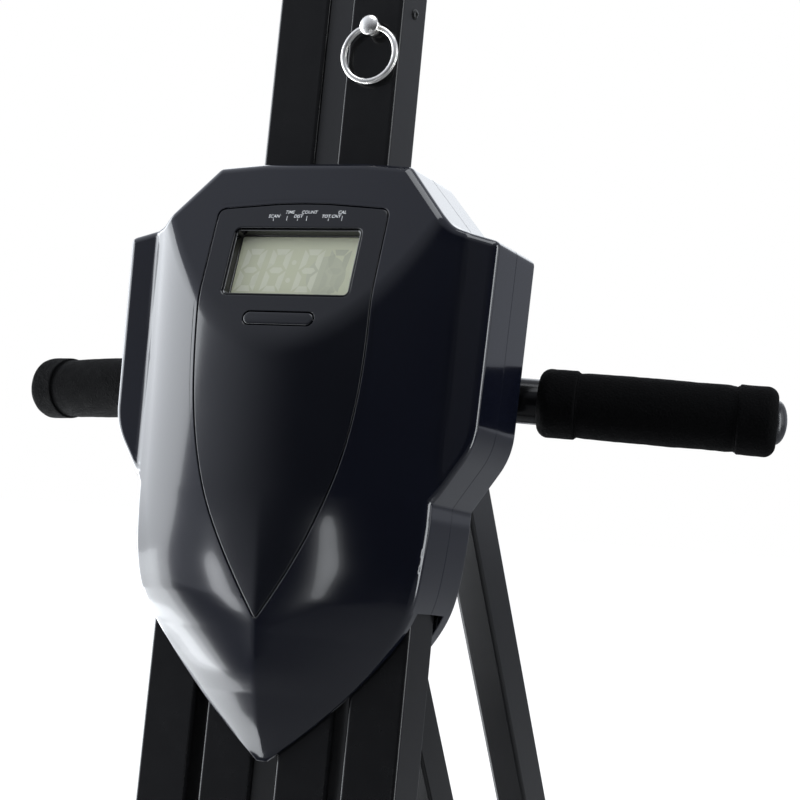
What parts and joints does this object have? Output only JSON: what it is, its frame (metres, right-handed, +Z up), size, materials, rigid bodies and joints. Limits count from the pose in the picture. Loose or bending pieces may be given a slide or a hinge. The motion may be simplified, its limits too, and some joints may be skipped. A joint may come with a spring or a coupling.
{
  "type": "vertical climber",
  "caption": "Folding stand-up climbing machine: leaning mast with counter-moving pedal poles, shield-shaped console housing, foam-grip handlebars, rear A-frame.",
  "frame": {"origin": "on the floor, at the middle of the machine's overall box", "axes": "+Z up; the user stands on the -Y side facing +Y; +X to the user's right"},
  "size_m": [0.648, 0.9338, 2.0586],
  "materials": {
    "frame": "satin black powder coat",
    "zinc": "zinc-plated",
    "chrome": "bright nickel plate",
    "housing": "high-gloss blue-black moulding",
    "console": "fine satin moulding",
    "bezel": "black moulding",
    "lcd": "unlit liquid-crystal display behind a clear window",
    "nylon": "natural nylon",
    "rubber": "moulded rubber",
    "foam": "closed-cell foam, fine open skin",
    "belt": "ribbed drive belt",
    "pedal": "textured moulding",
    "trim": "smooth moulding",
    "screw": "black oxide"
  },
  "bodies": {
    "root": {"left_upright": "frame", "right_upright": "frame", "front_floor_tube": "frame", "front_feet": "rubber", "lower_crossmember": "frame", "bump_stops": "rubber", "lower_guide": "nylon", "lower_guide_straps": "frame", "upper_guide": "nylon", "head_bracket": "frame", "pulley_axle": "zinc", "pivot_bolt": "zinc", "front_cover": "housing", "console_panel": "console", "lcd_bezel": "bezel", "lcd_glass": "lcd", "rear_cover": "housing", "pulley_guard": "housing", "cover_screws": "screw", "left_handlebar": "frame", "right_handlebar": "frame", "left_grip": "foam", "right_grip": "foam", "bar_caps": "trim", "belt_wrap": "belt", "left_strand": "belt", "right_strand": "belt"},
    "pulley": {"pulley": "nylon"},
    "fold_knob": {"fold_knob": "trim"},
    "mode_button": {"mode_button": "console"},
    "rear_frame": {"left_rear_leg": "frame", "right_rear_leg": "frame", "rear_floor_tube": "frame", "rear_feet": "rubber", "leg_brace": "frame", "leg_bushings": "nylon"},
    "left_pole": {"left_pole": "frame", "left_pedal_arm": "frame", "left_pedal": "pedal", "left_pedal_bolts": "zinc", "left_belt_clamp": "zinc", "left_sleeve": "trim", "left_sleeve_screw": "screw"},
    "left_handle": {"left_handle_tube": "frame", "left_handle_bar": "frame", "left_handle_grip": "foam"},
    "left_pin": {"left_pin": "chrome"},
    "left_ring": {"left_ring": "chrome"},
    "right_pole": {"right_pole": "frame", "right_pedal_arm": "frame", "right_pedal": "pedal", "right_pedal_bolts": "zinc", "right_belt_clamp": "zinc", "right_sleeve": "trim", "right_sleeve_screw": "screw"},
    "right_handle": {"right_handle_tube": "frame", "right_handle_bar": "frame", "right_handle_grip": "foam"},
    "right_pin": {"right_pin": "chrome"},
    "right_ring": {"right_ring": "chrome"}
  },
  "joints": [
    {"name": "climb_left", "type": "slide", "parent": "root", "child": "left_pole", "axis": [0, 0.225, 0.9744], "range_m": [-0.24, 0], "deforming": ["left_strand"]},
    {"name": "climb_right", "type": "slide", "parent": "root", "child": "right_pole", "axis": [0, 0.225, 0.9744], "range_m": [0, 0.24], "deforming": ["right_strand"]},
    {"name": "pulley_spin", "type": "hinge", "parent": "root", "child": "pulley", "pos_m": [0, -0.05749, 1.01761], "axis": [0, 0.9744, -0.225], "range_deg": [-644, 2]},
    {"name": "fold", "type": "hinge", "parent": "root", "child": "rear_frame", "pos_m": [0, -0.02226, 1.05463], "axis": [-1, 0, 0], "range_deg": [0, 34.9]},
    {"name": "fold_knob_turn", "type": "hinge", "parent": "root", "child": "fold_knob", "pos_m": [0.055, -0.02226, 1.05463], "axis": [1, 0, 0], "range_deg": [0, 300]},
    {"name": "mode_press", "type": "slide", "parent": "root", "child": "mode_button", "axis": [0, 0.8918, -0.4525], "range_m": [0, 0.0012], "stiffness_N_per_m": 400},
    {"name": "left_handle_height", "type": "slide", "parent": "left_pole", "child": "left_handle", "axis": [0, 0.225, 0.9744], "range_m": [0, 0.228]},
    {"name": "left_pin_pull", "type": "slide", "parent": "left_pole", "child": "left_pin", "axis": [0, -0.9744, 0.225], "range_m": [0, 0.008]},
    {"name": "left_ring_swing", "type": "hinge", "parent": "left_pin", "child": "left_ring", "pos_m": [-0.02145, -0.01111, 1.42563], "axis": [-1, 0, 0], "range_deg": [0, 70]},
    {"name": "right_handle_height", "type": "slide", "parent": "right_pole", "child": "right_handle", "axis": [0, 0.225, 0.9744], "range_m": [0, 0.228]},
    {"name": "right_pin_pull", "type": "slide", "parent": "right_pole", "child": "right_pin", "axis": [0, -0.9744, 0.225], "range_m": [0, 0.008]},
    {"name": "right_ring_swing", "type": "hinge", "parent": "right_pin", "child": "right_ring", "pos_m": [0.02145, -0.0651, 1.19179], "axis": [-1, 0, 0], "range_deg": [0, 70]}
  ],
  "couplings": [
    {"joint": "climb_right", "follows": "climb_left", "ratio": -1},
    {"joint": "pulley_spin", "follows": "climb_left", "rad_per_m": 46.62}
  ]
}
